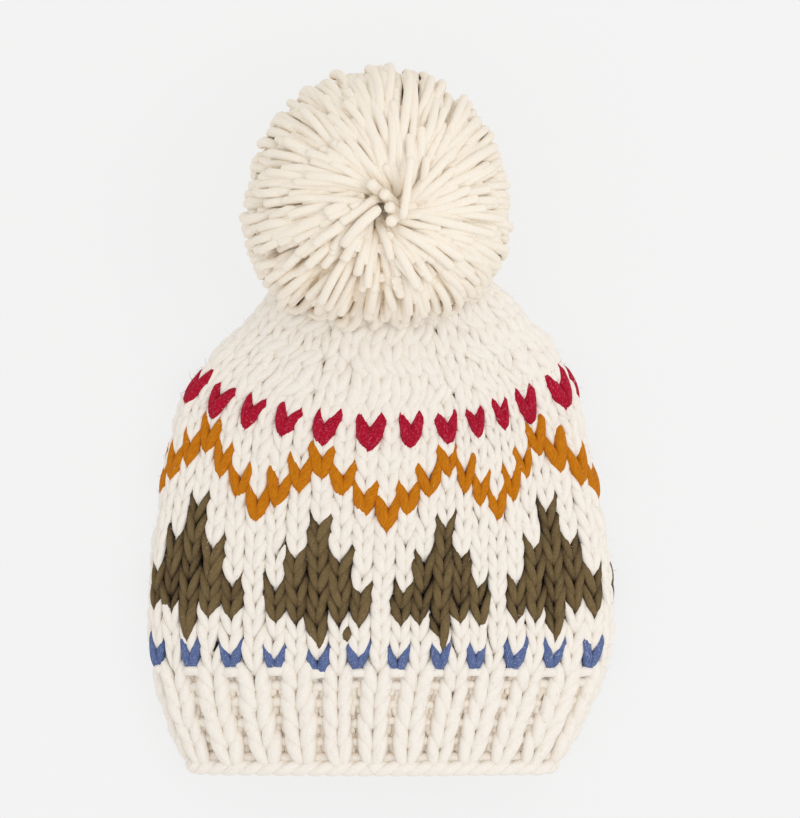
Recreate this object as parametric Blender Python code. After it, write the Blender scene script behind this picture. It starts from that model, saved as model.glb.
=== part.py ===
"""A knitted fair isle beanie lying on its back, with a big yarn pompom at its crown end.

The hat is a flattened knitted tube, open at the brim and drawn in to a small hole at the crown.
Its brim faces -Y, its pompom +Y and its patterned front +Z. It rests on z = 0.
Every ring around the hat is one knitted row: a flat back panel on the surface, two round folds
at the sides and an arched front panel.
"""

import math

import bmesh
import bpy
import numpy as np
from mathutils import Vector
from mathutils.bvhtree import BVHTree

# The knitted tube, in metres
HAT_WIDTH = 0.210
HAT_LENGTH = 0.2312
FABRIC = 0.0075
FOLD_HOLLOW = 0.0035
FRONT_ARCH = 0.0250
CROWN_LIFT = 0.0340
STITCHES_AROUND = 48
POINTS_AROUND = 2 * STITCHES_AROUND

# The ribbed brim, and the rounded cast-on edge where its ribs fade out
RIB_RELIEF = 0.0024
EDGE_ROUNDING = 0.0020
EDGE_ROWS = 0.25
FADED_RIB_SHARES = (0.15, 0.35)

# The drawn-in end of the crown and the yarn that ties the pompom on
DRAWN_HOLE_RADIUS = 0.0040
TIE_KNOT_HALF_WIDTH = 0.0085
TIE_KNOT_HALF_HEIGHT = 0.0050
TIE_KNOT_THICKNESS = 0.0050
TIE_REACH = 0.0160

# The pompom
POMPOM_WIDTH = 0.1200
POMPOM_LENGTH = 0.1190
POMPOM_HEIGHT = 0.1100
POMPOM_OVERHANG = 0.0330
POMPOM_SIDE_SHIFT = -0.0027
POMPOM_FLOP = 0.0090
POMPOM_SETTLE = 0.0030

# The pompom's locks: the depth of the grooves between them, how much of its cell a lock's flat top
# fills, and how far the rim of that top lies below its middle, all as shares
LOCK_DEPTH_SHARE = 0.30
LOCK_TOP_SHARE = 0.80
LOCK_DOME_SHARE = 0.035

# How square the pompom is: round its waist, on its free side and on the side that lies on the crown
WAIST_SQUARENESS = 2.25
FREE_SQUARENESS = 2.1
CROWN_SQUARENESS = 2.7

# Pieces that touch on the real hat keep this gap
GAP = 0.0003
CLEARANCE = 2.5 * GAP

# How many points each curved stretch of a ring is measured along, and the step in rows over which
# the slope of the fabric is measured
RING_STEPS = 80
SLOPE_ROWS = 0.15

# Where the bands of knitting meet, in rows counted from the top of the ribs
CAST_ON_ROW = -5.0
RIB_TOP_ROW = 0.0
PATTERN_TOP_ROW = 15.0
DRAWN_IN_ROW = 27.0
CLOSING_ROWS = 2.4

# How the rows lie on the hat. Along and sag are shares of the hat's length, half_width and lean of
# half its width, arch of FRONT_ARCH, lift of CROWN_LIFT and fold of the side folds' radius. Along is
# where the row crosses the middle of the front, sag is how much nearer the crown it is at the folds,
# and lean is how far the row has slid to the wearer's side.
ROW_COLUMNS = ("row", "along", "sag", "half_width", "lean", "arch", "lift", "fold")
ROWS = (
    (-5.0, 0.000, 0.014, 0.775, -0.038, 0.66, 0.00, 0.98),
    (-2.5, 0.096, 0.010, 0.885, -0.030, 0.74, 0.00, 1.00),
    (0.0, 0.191, 0.023, 0.965, -0.012, 0.88, 0.00, 1.00),
    (3.0, 0.285, 0.029, 1.000, 0.000, 1.00, 0.00, 1.00),
    (6.0, 0.379, 0.040, 0.985, -0.003, 1.00, 0.00, 1.00),
    (9.0, 0.473, 0.060, 0.943, -0.010, 0.98, 0.00, 1.00),
    (12.0, 0.567, 0.080, 0.893, -0.014, 0.94, 0.01, 1.00),
    (14.0, 0.628, 0.092, 0.857, -0.006, 0.90, 0.03, 1.00),
    (17.0, 0.722, 0.093, 0.740, 0.018, 0.80, 0.11, 1.00),
    (20.0, 0.816, 0.066, 0.600, 0.032, 0.66, 0.27, 0.99),
    (22.0, 0.877, 0.049, 0.518, 0.030, 0.54, 0.42, 0.97),
    (24.0, 0.934, 0.032, 0.415, 0.020, 0.38, 0.59, 0.98),
    (26.0, 0.981, 0.010, 0.260, 0.006, 0.18, 0.74, 0.98),
)

FOLD_RADIUS = FABRIC + FOLD_HOLLOW
WHOLE_LENGTH = HAT_LENGTH - POMPOM_OVERHANG + POMPOM_LENGTH
BRIM_Y = -WHOLE_LENGTH / 2
POMPOM_CENTRE = Vector((
    POMPOM_SIDE_SHIFT,
    WHOLE_LENGTH / 2 - POMPOM_LENGTH / 2 - POMPOM_FLOP,
    POMPOM_HEIGHT / 2 - POMPOM_SETTLE,
))
CROWN_END = Vector((0.0, BRIM_Y + HAT_LENGTH, CROWN_LIFT + DRAWN_HOLE_RADIUS))

# Colours of the yarn, linear, and how rough it is
CREAM = (0.86, 0.81, 0.71, 1.0)
CREAM_SHADE = (0.82, 0.76, 0.66, 1.0)
YARN_ROUGHNESS = 0.92


def smooth_through(knots, values, at):
    """A curve through the values at the knots that never overshoots them."""
    knots = np.asarray(knots, float)
    values = np.asarray(values, float)
    widths = np.diff(knots)
    slopes = np.diff(values) / widths
    bends = np.zeros(len(knots))
    bends[0] = slopes[0]
    bends[-1] = slopes[-1]
    same_way = slopes[:-1] * slopes[1:] > 0
    means = 2 * slopes[:-1] * slopes[1:] / np.where(same_way, slopes[:-1] + slopes[1:], 1.0)
    bends[1:-1] = np.where(same_way, means, 0.0)
    at = np.clip(at, knots[0], knots[-1])
    i = np.clip(np.searchsorted(knots, at) - 1, 0, len(widths) - 1)
    t = (at - knots[i]) / widths[i]
    start = (1 + 2 * t) * (1 - t) ** 2 * values[i] + t * (1 - t) ** 2 * widths[i] * bends[i]
    end = t * t * (3 - 2 * t) * values[i + 1] + t * t * (t - 1) * widths[i] * bends[i + 1]
    return start + end


def row_sizes(row):
    """The lengths that shape the ring at this row, from the table and the drawn-in end."""
    table = {name: [line[i] for line in ROWS] for i, name in enumerate(ROW_COLUMNS)}
    scale = {
        "along": HAT_LENGTH,
        "sag": HAT_LENGTH,
        "half_width": HAT_WIDTH / 2,
        "lean": HAT_WIDTH / 2,
        "arch": FRONT_ARCH,
        "lift": CROWN_LIFT,
        "fold": FOLD_RADIUS,
    }
    drawn_in = {
        "along": HAT_LENGTH,
        "sag": 0.0,
        "half_width": DRAWN_HOLE_RADIUS,
        "lean": 0.0,
        "arch": 0.0,
        "lift": CROWN_LIFT,
        "fold": DRAWN_HOLE_RADIUS,
    }
    knots = table["row"] + [DRAWN_IN_ROW]
    sizes = {}
    for name, size in scale.items():
        values = [share * size for share in table[name]] + [drawn_in[name]]
        sizes[name] = float(smooth_through(knots, values, row))
    return sizes


def ring(row, count):
    """Points evenly round the outside of the hat at this row, from the middle of its front."""
    size = row_sizes(row)
    fold = min(size["fold"], size["half_width"])
    reach = size["half_width"] - fold
    across = np.linspace(0, 1, RING_STEPS)
    slope = 2 * size["arch"] * across / max(reach, GAP)
    tilt = np.arctan(slope)
    front = np.stack([
        across * reach + fold * np.sin(tilt),
        size["arch"] * (1 - across**2) + fold * np.cos(tilt),
    ], 1)
    turn = np.linspace(tilt[-1], math.pi, RING_STEPS)[1:]
    side = np.stack([reach + fold * np.sin(turn), fold * np.cos(turn)], 1)
    half = np.concatenate([front, side, [[0.0, -fold]]])
    other_half = half[-2:0:-1] * (-1, 1)
    loop = np.concatenate([half, other_half, half[:1]])
    walked = np.concatenate([[0.0], np.cumsum(np.linalg.norm(np.diff(loop, axis=0), axis=1))])
    wanted = np.arange(count) / count * walked[-1]
    x = np.interp(wanted, walked, loop[:, 0])
    z = np.interp(wanted, walked, loop[:, 1])
    y = BRIM_Y + size["along"] + size["sag"] * (x / size["half_width"]) ** 2
    return np.stack([x + size["lean"], y, z + size["lift"] + fold], 1)


def outward(row, count):
    """The directions that point out of the fabric at a ring's points."""
    below = ring(max(row - SLOPE_ROWS, CAST_ON_ROW), count)
    above = ring(min(row + SLOPE_ROWS, DRAWN_IN_ROW), count)
    here = ring(row, count)
    around = np.roll(here, -1, axis=0) - np.roll(here, 1, axis=0)
    normals = np.cross(around, above - below)
    if row > DRAWN_IN_ROW - SLOPE_ROWS:
        normals = np.tile((0.0, 1.0, 0.0), (count, 1))
    return normals / np.linalg.norm(normals, axis=1)[:, None]


def knit_ring(row, count, depth, relief=0.0):
    """A ring sunk by depth into the fabric, with ribs that stand out by relief."""
    ribs = STITCHES_AROUND // 2
    wave = 0.5 + 0.5 * np.cos(2 * math.pi * ribs * np.arange(count) / count)
    return ring(row, count) + outward(row, count) * (relief * (wave - 1) - depth)[:, None]


def yarn_material(name, colour):
    material = bpy.data.materials.new(name)
    material.use_nodes = True
    shader = material.node_tree.nodes["Principled BSDF"]
    shader.inputs["Base Color"].default_value = colour
    shader.inputs["Roughness"].default_value = YARN_ROUGHNESS
    shader.inputs["Metallic"].default_value = 0.0
    return material


def add_object(name, points, faces, colour=None):
    """An object made of these points and faces, with its faces turned outwards."""
    mesh = bpy.data.meshes.new(name)
    mesh.from_pydata([tuple(p) for p in points], [], [tuple(f) for f in faces])
    shape = bmesh.new()
    shape.from_mesh(mesh)
    bmesh.ops.recalc_face_normals(shape, faces=shape.faces)
    if shape.calc_volume(signed=True) < 0:
        bmesh.ops.reverse_faces(shape, faces=shape.faces)
    shape.to_mesh(mesh)
    shape.free()
    mesh.shade_smooth()
    thing = bpy.data.objects.new(name, mesh)
    bpy.context.scene.collection.objects.link(thing)
    if colour is None:
        thing.hide_render = True
        thing.display_type = "WIRE"
    else:
        mesh.materials.append(yarn_material(name, colour))
    return thing


def band_faces(low, high, count):
    """Triangles between two rings that start at these points."""
    faces = []
    for j in range(count):
        k = (j + 1) % count
        faces.append((low + j, low + k, high + k))
        faces.append((low + j, high + k, high + j))
    return faces


def knitted_band(name, outside, inside, colour):
    """A closed wall of fabric, up its outside rings and back down its inside rings.

    Both ends join outside to inside the same way, so that two bands meet face to face.
    """
    rings = outside + inside
    count = len(rings[0])
    faces = []
    for i in range(len(rings) - 1):
        faces += band_faces(i * count, (i + 1) * count, count)
    faces += band_faces(0, (len(rings) - 1) * count, count)
    return add_object(name, np.concatenate(rings), faces, colour)


def stopped_short(points):
    """The same points, a gap nearer the brim."""
    return points - (0.0, GAP, 0.0)


def make_brim():
    """The ribbed brim: 24 ribs one stitch wide, and a rounded cast-on edge."""
    count = POINTS_AROUND
    low = CAST_ON_ROW + EDGE_ROWS
    outside = [
        knit_ring(CAST_ON_ROW, count, EDGE_ROUNDING, FADED_RIB_SHARES[0] * RIB_RELIEF),
        knit_ring(low, count, 0.0, FADED_RIB_SHARES[1] * RIB_RELIEF),
    ]
    for row in np.linspace(low + 2 * EDGE_ROWS, RIB_TOP_ROW - EDGE_ROWS, 4):
        outside.append(knit_ring(row, count, 0.0, RIB_RELIEF))
    outside.append(stopped_short(knit_ring(RIB_TOP_ROW, count, 0.0)))
    inside = [knit_ring(row, count, FABRIC) for row in np.linspace(RIB_TOP_ROW, low, 5)]
    inside[0] = stopped_short(inside[0])
    inside.append(knit_ring(CAST_ON_ROW, count, FABRIC - EDGE_ROUNDING))
    return knitted_band("brim_rib", outside, inside, CREAM)


def make_body():
    """The stocking-stitch body that carries the coloured rows."""
    count = POINTS_AROUND
    outside = [knit_ring(row, count, 0.0) for row in np.linspace(RIB_TOP_ROW, PATTERN_TOP_ROW, 6)]
    inside = [knit_ring(row, count, FABRIC) for row in np.linspace(PATTERN_TOP_ROW, RIB_TOP_ROW, 5)]
    outside[-1] = stopped_short(outside[-1])
    inside[0] = stopped_short(inside[0])
    return knitted_band("patterned_body", outside, inside, CREAM)


def make_crown():
    """The crown, whose rows shrink to the drawn-in hole at its end."""
    shoulder = DRAWN_IN_ROW - CLOSING_ROWS
    spread = np.linspace(PATTERN_TOP_ROW, shoulder, 5)
    closing = np.linspace(shoulder, DRAWN_IN_ROW, 4)[1:]
    outside = [knit_ring(row, POINTS_AROUND, 0.0) for row in (*spread, *closing)]
    inside = [knit_ring(row, POINTS_AROUND, FABRIC) for row in (*closing[::-1], *spread[::-2])]
    return knitted_band("crown", outside, inside, CREAM)


def capped_faces(rings, count):
    """The faces of a solid pile of rings, with a flat face at each end."""
    faces = []
    for i in range(rings - 1):
        faces += band_faces(i * count, (i + 1) * count, count)
    faces.append(tuple(range(count)))
    faces.append(tuple(range((rings - 1) * count, rings * count)))
    return faces


def turned(name, profile, colour, segments=24):
    """An oval solid round the line from the crown's end along +Y.

    The profile lists its half width, its half height and how far along the line they are.
    """
    angles = 2 * math.pi * np.arange(segments) / segments
    points = []
    for half_width, half_height, y in profile:
        for angle in angles:
            points.append((half_width * math.cos(angle), y, half_height * math.sin(angle)))
    points = np.array(points) + np.array(CROWN_END)
    return add_object(name, points, capped_faces(len(profile), segments), colour)


def make_tie():
    """The yarn that holds the pompom: a knot inside the crown, through the hole, into the pompom."""
    neck = DRAWN_HOLE_RADIUS - GAP
    knot_face = -FABRIC - GAP
    knot = [(0.75, 1.0), (1.0, 0.75), (1.0, 0.25), (0.85, 0.0)]
    profile = []
    for spread, depth in knot:
        profile.append((
            spread * TIE_KNOT_HALF_WIDTH,
            spread * TIE_KNOT_HALF_HEIGHT,
            knot_face - depth * TIE_KNOT_THICKNESS,
        ))
    profile += [(neck, neck, knot_face), (neck, neck, TIE_REACH)]
    return turned("pompom_tie", profile, CREAM_SHADE)


def crown_clearance():
    """The space that the closed crown fills, a gap larger all round, for cutting the pompom."""
    count = STITCHES_AROUND
    shoulder = DRAWN_IN_ROW - CLOSING_ROWS
    spread = np.linspace(PATTERN_TOP_ROW, shoulder, 6)
    rows = [PATTERN_TOP_ROW - 4, *spread, *np.linspace(shoulder, DRAWN_IN_ROW, 4)[1:]]
    rings = [knit_ring(row, count, -CLEARANCE) for row in rows]
    return add_object("crown_clearance", np.concatenate(rings), capped_faces(len(rings), count))


def tie_socket():
    """The space that the tie's end fills inside the pompom."""
    return turned("tie_socket", [
        (DRAWN_HOLE_RADIUS, DRAWN_HOLE_RADIUS, -GAP),
        (DRAWN_HOLE_RADIUS, DRAWN_HOLE_RADIUS, TIE_REACH + GAP),
    ], None)


def lock_cells():
    """The corners of the pompom's locks: directions to them, and the corner loop of each lock."""
    ball = bmesh.new()
    bmesh.ops.create_icosphere(ball, subdivisions=3, radius=1.0)
    corners = np.array([face.calc_center_median().normalized() for face in ball.faces])
    middles = []
    loops = []
    for vert in ball.verts:
        middle = vert.co.normalized()
        side = middle.orthogonal().normalized()
        up = middle.cross(side)
        around = sorted(
            (face.index for face in vert.link_faces),
            key=lambda index: math.atan2(Vector(corners[index]).dot(up), Vector(corners[index]).dot(side)),
        )
        middles.append(middle[:])
        loops.append(around)
    ball.free()
    return corners, np.array(middles), loops


def pompom_reach(direction, obstacle):
    """How far the pompom's yarn reaches from its widest place this way, stopped by the crown."""
    x, y, z = (abs(part) for part in direction)
    waist = (
        (x / (POMPOM_WIDTH / 2)) ** WAIST_SQUARENESS
        + (z / (POMPOM_HEIGHT / 2)) ** WAIST_SQUARENESS
    ) ** (1 / WAIST_SQUARENESS)
    if direction[1] > 0:
        along = y / (POMPOM_LENGTH / 2 + POMPOM_FLOP)
        squareness = FREE_SQUARENESS
    else:
        along = y / (POMPOM_LENGTH / 2 - POMPOM_FLOP)
        squareness = CROWN_SQUARENESS
    free = (waist**squareness + along**squareness) ** (-1 / squareness)
    hit = obstacle.ray_cast(POMPOM_CENTRE, Vector(direction))
    blocked = hit[3] - GAP if hit[0] is not None else free
    return min(free, blocked)


def make_pompom():
    """The pompom: one body of yarn locks, each with a groove round it, cut clear of crown and tie."""
    clearance = crown_clearance()
    socket = tie_socket()
    obstacle = BVHTree.FromPolygons(
        [vert.co for vert in clearance.data.vertices],
        [poly.vertices[:] for poly in clearance.data.polygons],
    )
    corners, middles, loops = lock_cells()
    centre = np.array(POMPOM_CENTRE)
    points = [centre + c * pompom_reach(c, obstacle) * (1 - LOCK_DEPTH_SHARE) for c in corners]
    faces = []
    for middle, loop in zip(middles, loops):
        tips = []
        for index in loop:
            tip = corners[index] * LOCK_TOP_SHARE + middle * (1 - LOCK_TOP_SHARE)
            tip = tip / np.linalg.norm(tip)
            tips.append(len(points))
            points.append(centre + tip * pompom_reach(tip, obstacle) * (1 - LOCK_DOME_SHARE))
        top = len(points)
        points.append(centre + middle * pompom_reach(middle, obstacle))
        for i in range(len(loop)):
            j = (i + 1) % len(loop)
            faces.append((loop[i], loop[j], tips[j], tips[i]))
            faces.append((tips[i], tips[j], top))
    points = np.array(points)
    points[:, 2] = np.maximum(points[:, 2], 0.0)
    pompom = add_object("pompom", points, faces, CREAM)
    for cutter in (clearance, socket):
        cut = pompom.modifiers.new(cutter.name, "BOOLEAN")
        cut.operation = "DIFFERENCE"
        cut.solver = "EXACT"
        cut.object = cutter
    return pompom


def main():
    for thing in list(bpy.data.objects):
        bpy.data.objects.remove(thing)
    make_brim()
    make_body()
    make_crown()
    make_tie()
    make_pompom()


main()
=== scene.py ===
import math

import bpy
import numpy as np
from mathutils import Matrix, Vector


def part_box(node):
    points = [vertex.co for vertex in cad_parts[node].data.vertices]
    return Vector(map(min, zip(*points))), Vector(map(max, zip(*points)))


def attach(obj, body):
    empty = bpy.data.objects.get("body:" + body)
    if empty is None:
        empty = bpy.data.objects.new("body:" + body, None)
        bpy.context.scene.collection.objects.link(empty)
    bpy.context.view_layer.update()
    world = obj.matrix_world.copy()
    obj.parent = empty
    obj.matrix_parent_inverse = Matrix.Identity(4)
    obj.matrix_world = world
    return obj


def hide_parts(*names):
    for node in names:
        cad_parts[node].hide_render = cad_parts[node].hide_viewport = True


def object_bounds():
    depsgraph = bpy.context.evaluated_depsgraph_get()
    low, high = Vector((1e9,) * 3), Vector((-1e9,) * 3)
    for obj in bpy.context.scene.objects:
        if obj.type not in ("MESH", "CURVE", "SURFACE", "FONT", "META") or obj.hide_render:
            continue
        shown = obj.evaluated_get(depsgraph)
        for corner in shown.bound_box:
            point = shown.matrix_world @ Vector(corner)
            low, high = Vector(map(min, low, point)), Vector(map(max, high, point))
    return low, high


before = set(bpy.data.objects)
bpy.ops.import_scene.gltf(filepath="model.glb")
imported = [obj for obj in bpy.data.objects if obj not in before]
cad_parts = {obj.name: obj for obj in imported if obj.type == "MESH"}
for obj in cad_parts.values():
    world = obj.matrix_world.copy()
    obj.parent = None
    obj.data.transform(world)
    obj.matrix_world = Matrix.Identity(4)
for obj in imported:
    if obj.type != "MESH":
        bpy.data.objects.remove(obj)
CAD_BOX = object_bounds()
MM = 0.001

# Ribbed brim. Five rounds of knit-one-purl-one rib in one thick, softly spun wool yarn. The knit
# columns stand forward as puffy braids and the purl columns sink between them as short cross bars.
# It is knitted first, in the round, and every later round of the hat is looped through it.
HAT_WIDTH = 210 * MM
HAT_LENGTH = 231.2 * MM
FOLD_RADIUS = 11 * MM
FRONT_ARCH = 25 * MM
CROWN_LIFT = 34 * MM
DRAWN_HOLE_RADIUS = 4 * MM
LEAST_REACH = 0.3 * MM
BRIM_Y = float(CAD_BOX[0].y)
CAST_ON_ROW = -5.0
DRAWN_IN_ROW = 27.0
RING_STEPS = 80

# Each line is a row of stitches, with the sizes of the lying hat there as shares of the lengths above.
ROW_COLUMNS = ("row", "along", "sag", "half_width", "lean", "arch", "lift", "fold")
ROWS = (
    (-5.0, 0.000, -0.006, 0.775, -0.038, 0.66, 0.00, 0.98),
    (-2.5, 0.096, -0.004, 0.885, -0.030, 0.74, 0.00, 1.00),
    (0.0, 0.191, -0.002, 0.965, -0.012, 0.88, 0.00, 1.00),
    (3.0, 0.285, 0.026, 1.000, 0.000, 1.00, 0.00, 1.00),
    (6.0, 0.379, 0.040, 0.985, -0.003, 1.00, 0.00, 1.00),
    (9.0, 0.473, 0.060, 0.943, -0.010, 0.98, 0.00, 1.00),
    (12.0, 0.567, 0.080, 0.893, -0.014, 0.94, 0.01, 1.00),
    (14.0, 0.628, 0.092, 0.857, -0.006, 0.90, 0.03, 1.00),
    (17.0, 0.722, 0.093, 0.740, 0.018, 0.80, 0.11, 1.00),
    (20.0, 0.816, 0.066, 0.600, 0.032, 0.66, 0.27, 0.99),
    (22.0, 0.877, 0.049, 0.518, 0.030, 0.54, 0.42, 0.97),
    (24.0, 0.934, 0.032, 0.415, 0.020, 0.38, 0.59, 0.98),
    (26.0, 0.981, 0.010, 0.260, 0.006, 0.18, 0.74, 0.98),
)


def smooth_through(knots, values, at):
    """A curve through the values at the knots that never overshoots them."""
    knots = np.asarray(knots, float)
    values = np.asarray(values, float)
    widths = np.diff(knots)
    slopes = np.diff(values) / widths
    bends = np.zeros(len(knots))
    bends[0] = slopes[0]
    bends[-1] = slopes[-1]
    same_way = slopes[:-1] * slopes[1:] > 0
    means = 2 * slopes[:-1] * slopes[1:] / np.where(same_way, slopes[:-1] + slopes[1:], 1.0)
    bends[1:-1] = np.where(same_way, means, 0.0)
    at = np.clip(at, knots[0], knots[-1])
    i = np.clip(np.searchsorted(knots, at) - 1, 0, len(widths) - 1)
    t = (at - knots[i]) / widths[i]
    start = (1 + 2 * t) * (1 - t) ** 2 * values[i] + t * (1 - t) ** 2 * widths[i] * bends[i]
    end = t * t * (3 - 2 * t) * values[i + 1] + t * t * (t - 1) * widths[i] * bends[i + 1]
    return start + end


def row_sizes(row):
    """The lengths that shape the ring at this row, from the table and the drawn-in end."""
    scales = (HAT_LENGTH, HAT_LENGTH, HAT_WIDTH / 2, HAT_WIDTH / 2, FRONT_ARCH, CROWN_LIFT, FOLD_RADIUS)
    drawn_in = (HAT_LENGTH, 0.0, DRAWN_HOLE_RADIUS, 0.0, 0.0, CROWN_LIFT, DRAWN_HOLE_RADIUS)
    knots = [line[0] for line in ROWS] + [DRAWN_IN_ROW]
    sizes = {}
    for i, (name, scale, end) in enumerate(zip(ROW_COLUMNS[1:], scales, drawn_in)):
        values = [line[i + 1] * scale for line in ROWS] + [end]
        sizes[name] = float(smooth_through(knots, values, row))
    return sizes


def ring(row, count):
    """Points evenly round the outside of the hat at this row, from the middle of its front."""
    size = row_sizes(row)
    fold = min(size["fold"], size["half_width"])
    reach = size["half_width"] - fold
    across = np.linspace(0, 1, RING_STEPS)
    slope = 2 * size["arch"] * across / max(reach, LEAST_REACH)
    tilt = np.arctan(slope)
    front = np.stack([
        across * reach + fold * np.sin(tilt),
        size["arch"] * (1 - across**2) + fold * np.cos(tilt),
    ], 1)
    turn = np.linspace(tilt[-1], math.pi, RING_STEPS)[1:]
    side = np.stack([reach + fold * np.sin(turn), fold * np.cos(turn)], 1)
    half = np.concatenate([front, side, [[0.0, -fold]]])
    loop = np.concatenate([half, half[-2:0:-1] * (-1, 1), half[:1]])
    walked = np.concatenate([[0.0], np.cumsum(np.linalg.norm(np.diff(loop, axis=0), axis=1))])
    wanted = np.arange(count) / count * walked[-1]
    x = np.interp(wanted, walked, loop[:, 0])
    z = np.interp(wanted, walked, loop[:, 1])
    y = BRIM_Y + size["along"] + size["sag"] * (x / size["half_width"]) ** 2
    return np.stack([x + size["lean"], y, z + size["lift"] + fold], 1)


STITCHES_AROUND = 48
SPOKES = 384
ROW_STEP = 0.25
CLOTH_ROWS = np.arange(CAST_ON_ROW, DRAWN_IN_ROW + ROW_STEP / 2, ROW_STEP)
CLOTH_POINTS = np.stack([ring(row, SPOKES) for row in CLOTH_ROWS])


def facing_out(points):
    """The directions that point out of the cloth, from how its grid of points runs round and up."""
    around = np.roll(points, -1, axis=1) - np.roll(points, 1, axis=1)
    normals = np.cross(around, np.gradient(points, axis=0))
    return normals / np.linalg.norm(normals, axis=2)[..., None]


CLOTH_FACING = facing_out(CLOTH_POINTS)


def cloth(column, row, depth):
    """Points that deep under the outside of the hat, with the way out. Columns count from the front."""
    spoke = (column / STITCHES_AROUND) % 1 * SPOKES
    level = (row - CAST_ON_ROW) / ROW_STEP
    i = np.clip(np.floor(level).astype(int), 0, len(CLOTH_ROWS) - 2)
    up = np.minimum(level - i, 1.0)[..., None]
    j = np.floor(spoke).astype(int) % SPOKES
    k = (j + 1) % SPOKES
    on = (spoke - np.floor(spoke))[..., None]

    def mixed(grid):
        below = grid[i, j] * (1 - on) + grid[i, k] * on
        above = grid[i + 1, j] * (1 - on) + grid[i + 1, k] * on
        return below * (1 - up) + above * up

    facing = mixed(CLOTH_FACING)
    facing = facing / np.linalg.norm(facing, axis=-1)[..., None]
    return mixed(CLOTH_POINTS) - facing * depth[..., None], facing


# A hand-knitted tube never lies square: how far each column stands off its even place, in stitches.
DRIFT_COLUMNS = (-16, -12, -9, -6, -3, 0, 3, 6, 9, 12, 16)
DRIFT_ROWS = (1, 4, 8, 12, 15, 27)
DRIFT = (
    (0, -0.30, -0.50, -0.20, 0.05, -0.05, -0.10, -0.40, -0.45, -0.30, 0),
    (0, -0.30, -0.55, -0.10, 0.00, 0.00, -0.20, -0.45, -0.55, -0.40, 0),
    (0, -0.20, -0.50, -0.20, 0.00, 0.32, 0.20, -0.10, -0.35, -0.20, 0),
    (0, -0.15, -0.40, -0.40, 0.05, 0.60, 0.78, 0.34, -0.20, 0.00, 0),
    (0, -0.30, -0.60, -0.68, -0.28, 0.60, 0.77, 0.27, -0.53, -0.15, 0),
    (0, 0, 0, 0, 0, 0, 0, 0, 0, 0, 0),
)


def drift(column, row):
    """How far the column has slid round the hat at this row, in stitches."""
    half = STITCHES_AROUND / 2
    column = (column + half) % STITCHES_AROUND - half
    lines = np.stack([np.interp(column, DRIFT_COLUMNS, line) for line in DRIFT])
    level = np.interp(row, DRIFT_ROWS, np.arange(len(DRIFT_ROWS)))
    i = np.clip(np.floor(level).astype(int), 0, len(DRIFT_ROWS) - 2)
    low = np.take_along_axis(lines, i[None], 0)[0]
    high = np.take_along_axis(lines, i[None] + 1, 0)[0]
    return low + (high - low) * (level - i)


LEAST_STRETCH = 0.75
MOST_STRETCH = 1.30


def stretch(column, row):
    """How much wider than even the stitches stand there, where the columns slide apart."""
    slid = drift(column + 0.5, row) - drift(column - 0.5, row)
    return np.clip(1 + slid, LEAST_STRETCH, MOST_STRETCH)


YARN_RADIUS = 2.12 * MM
YARN_SIDES = 8
LOOP_PARTS = 16
LEG_CORNERS = (2, 6, 10, 14)

# One half of a loop, from the middle of the strand behind it to the middle of its head: across in
# stitches, up in rows, deep in yarn radii, and how thick the yarn is there.
KNIT_LOOP = (
    (0.50, 0.05, 2.8, 1.00),
    (0.24, 0.06, 2.6, 0.90),
    (0.05, 0.24, 1.65, 0.72),
    (0.13, 0.62, 1.05, 0.94),
    (0.235, 1.06, 0.95, 1.05),
    (0.34, 1.50, 1.20, 0.98),
    (0.43, 1.93, 1.75, 0.72),
    (0.37, 2.12, 2.5, 0.85),
    (0.00, 2.18, 2.8, 1.00),
)
RIB_KNIT_LOOP = (
    (0.76, 0.06, 2.4, 0.80),
    (0.50, 0.00, 2.8, 0.90),
    (0.14, 0.10, 2.00, 0.80),
    (0.24, 0.48, 1.45, 1.24),
    (0.37, 0.98, 1.25, 1.52),
    (0.50, 1.48, 1.40, 1.42),
    (0.60, 1.90, 2.05, 1.04),
    (0.46, 2.17, 2.8, 0.85),
    (0.00, 2.22, 3.1, 0.80),
)
RIB_PURL_LOOP = (
    (0.24, 0.06, 2.4, 0.80),
    (0.22, 0.02, 2.3, 0.85),
    (0.20, 0.20, 2.5, 0.90),
    (0.16, 0.56, 2.9, 0.90),
    (0.17, 0.90, 2.9, 0.90),
    (0.24, 1.18, 2.7, 0.95),
    (0.28, 1.38, 2.4, 1.00),
    (0.20, 1.52, 2.15, 1.05),
    (0.00, 1.55, 2.05, 1.10),
)
RIB_LAST_PURL_LOOP = RIB_PURL_LOOP[:5] + (
    (0.32, 1.10, 2.3, 0.95),
    (0.36, 1.26, 1.35, 1.00),
    (0.20, 1.36, 0.62, 1.05),
    (0.00, 1.36, 0.48, 1.08),
)


def whole_loop(half):
    """Both halves of a loop, from the strand on its left to just before the strand on its right."""
    half = np.array(half, float)
    left = half * (-1, 1, 1, 1)
    return np.concatenate([left, half[-2:0:-1]])


def loop_places():
    """Where along its corners a loop is sampled: closely on the two legs, which show."""
    places = []
    for corner in range(LOOP_PARTS):
        places.append(float(corner))
        on_left_leg = LEG_CORNERS[0] <= corner < LEG_CORNERS[1]
        on_right_leg = LEG_CORNERS[2] <= corner < LEG_CORNERS[3]
        if on_left_leg or on_right_leg:
            places.append(corner + 0.5)
    return np.array(places)


LOOP_PLACES = loop_places()


def curve_at(corners, places):
    """A smooth curve through a run of corners, sampled at these places along them."""
    i = np.clip(np.floor(places).astype(int), 1, len(corners) - 3)
    t = (places - i).reshape((-1,) + (1,) * (corners.ndim - 1))
    a, b, c, d = corners[i - 1], corners[i], corners[i + 1], corners[i + 2]
    return 0.5 * (2 * b + (c - a) * t + (2 * a - 5 * b + 4 * c - d) * t**2 + (3 * b - a - 3 * c + d) * t**3)


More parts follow.
